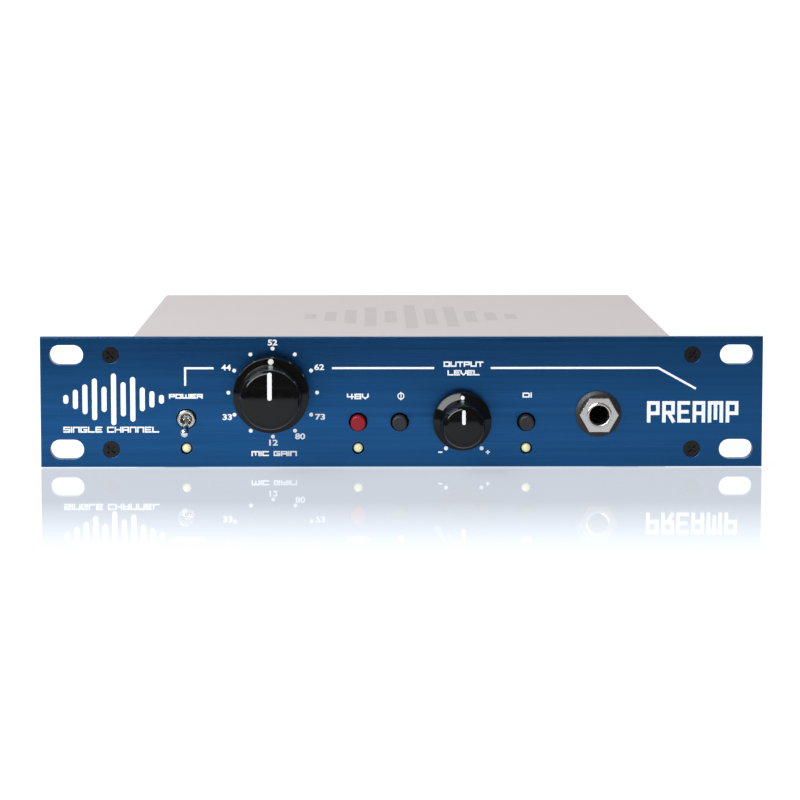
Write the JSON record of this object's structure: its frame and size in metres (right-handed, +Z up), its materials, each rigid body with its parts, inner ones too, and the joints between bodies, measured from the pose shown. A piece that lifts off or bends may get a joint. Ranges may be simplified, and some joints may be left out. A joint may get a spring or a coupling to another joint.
{
  "type": "microphone preamp",
  "caption": "Half-rack microphone preamp with a blue panel, stepped gain knob, output level knob, push switches, lamps, a toggle and an instrument jack.",
  "frame": {"origin": "centre of the rack-slot pattern, on the rear face of the front panel", "axes": "+X to the user's right along the panel, +Y towards the rear of the case, +Z up"},
  "size_m": [0.2414, 0.215, 0.044],
  "materials": {
    "blue_anodised": "brushed blue anodised",
    "light_grey_paint": "satin light grey paint",
    "black_rubber": "matte",
    "black_steel": "black oxide",
    "zinc_steel": "zinc plated",
    "gloss_black_plastic": "polished",
    "turned_steel": "turned",
    "chrome_plate": "polished",
    "nickel_plate": "satin nickel",
    "matte_black_plastic": "fine moulded texture",
    "red_plastic": "moulded",
    "white_plastic": "moulded",
    "spring_steel": "drawn wire",
    "lamp_lens": "lit, pale warm",
    "brass_contacts": "plated",
    "green_board": "solder mask",
    "shield_can": "drawn steel can",
    "core_steel": "varnished laminations",
    "coil_tape": "amber tape",
    "capacitor_sleeve": "shrunk sleeve",
    "film_capacitor": "dipped",
    "grey_cable": "insulation"
  },
  "bodies": {
    "case": {"front_panel": "blue_anodised", "chassis_tray": "light_grey_paint", "top_cover": "light_grey_paint", "rubber_feet": "black_rubber", "panel_screws": "black_steel", "panel_press_nuts": "zinc_steel", "cover_screws": "black_steel", "gain_switch_body": "matte_black_plastic", "gain_switch_nut": "zinc_steel", "output_pot_body": "matte_black_plastic", "output_pot_nut": "zinc_steel", "power_bushing": "nickel_plate", "power_switch_body": "matte_black_plastic", "push_switch_bodies": "matte_black_plastic", "phantom_spring": "spring_steel", "phase_spring": "spring_steel", "di_spring": "spring_steel", "lamp_lenses": "lamp_lens", "lamp_spacers": "matte_black_plastic", "di_jack_body": "matte_black_plastic", "di_jack_nut": "nickel_plate", "di_jack_washer": "matte_black_plastic", "di_jack_contacts": "brass_contacts", "mic_in_shell": "nickel_plate", "mic_in_insert": "matte_black_plastic", "mic_in_contacts": "brass_contacts", "line_out_shell": "nickel_plate", "line_out_insert": "matte_black_plastic", "line_out_pins": "brass_contacts", "connector_screws": "black_steel", "power_inlet_body": "matte_black_plastic", "power_inlet_nut": "zinc_steel", "power_inlet_pin": "nickel_plate", "control_board": "green_board", "main_board": "green_board", "board_standoffs": "brass_contacts", "board_screws": "zinc_steel", "input_transformer": "shield_can", "output_transformer_core": "core_steel", "output_transformer_coil": "coil_tape", "electrolytic_capacitors": "capacitor_sleeve", "film_capacitors": "film_capacitor", "transistors": "matte_black_plastic", "board_headers": "white_plastic", "ribbon_cable": "grey_cable", "internal_wires": "grey_cable"},
    "gain_rotor": {"gain_knob": "gloss_black_plastic", "gain_knob_set_screw": "black_steel", "gain_shaft": "turned_steel"},
    "output_rotor": {"output_knob": "gloss_black_plastic", "output_knob_set_screw": "black_steel", "output_shaft": "turned_steel"},
    "power_toggle": {"power_lever": "chrome_plate"},
    "phantom_push": {"phantom_button": "red_plastic", "phantom_plunger": "white_plastic"},
    "phase_push": {"phase_button": "matte_black_plastic", "phase_plunger": "white_plastic"},
    "di_push": {"di_button": "matte_black_plastic", "di_plunger": "white_plastic"},
    "mic_latch": {"mic_in_latch": "chrome_plate"}
  },
  "joints": [
    {"name": "gain_turn", "type": "hinge", "parent": "case", "child": "gain_rotor", "pos_m": [-0.0434, -0.01, 0.0032], "axis": [0, 1, 0], "range_deg": [-180, 150]},
    {"name": "output_turn", "type": "hinge", "parent": "case", "child": "output_rotor", "pos_m": [0.0201, -0.01, -0.0059], "axis": [0, 1, 0], "range_deg": [-150, 150]},
    {"name": "power_toggle_throw", "type": "hinge", "parent": "case", "child": "power_toggle", "pos_m": [-0.072, -0.0018, -0.0056], "axis": [-1, 0, 0], "range_deg": [0, 28]},
    {"name": "phantom_press", "type": "slide", "parent": "case", "child": "phantom_push", "axis": [0, 1, 0], "range_m": [0, 0.0025], "stiffness_N_per_m": 500, "springref_m": -0.001, "deforming": ["phantom_spring"]},
    {"name": "phase_press", "type": "slide", "parent": "case", "child": "phase_push", "axis": [0, 1, 0], "range_m": [0, 0.0025], "stiffness_N_per_m": 500, "springref_m": -0.001, "deforming": ["phase_spring"]},
    {"name": "di_press", "type": "slide", "parent": "case", "child": "di_push", "axis": [0, 1, 0], "range_m": [0, 0.0025], "stiffness_N_per_m": 500, "springref_m": -0.001, "deforming": ["di_spring"]},
    {"name": "mic_latch_press", "type": "slide", "parent": "case", "child": "mic_latch", "axis": [0, -1, 0], "range_m": [0, 0.0015], "stiffness_N_per_m": 800, "springref_m": -0.001}
  ]
}
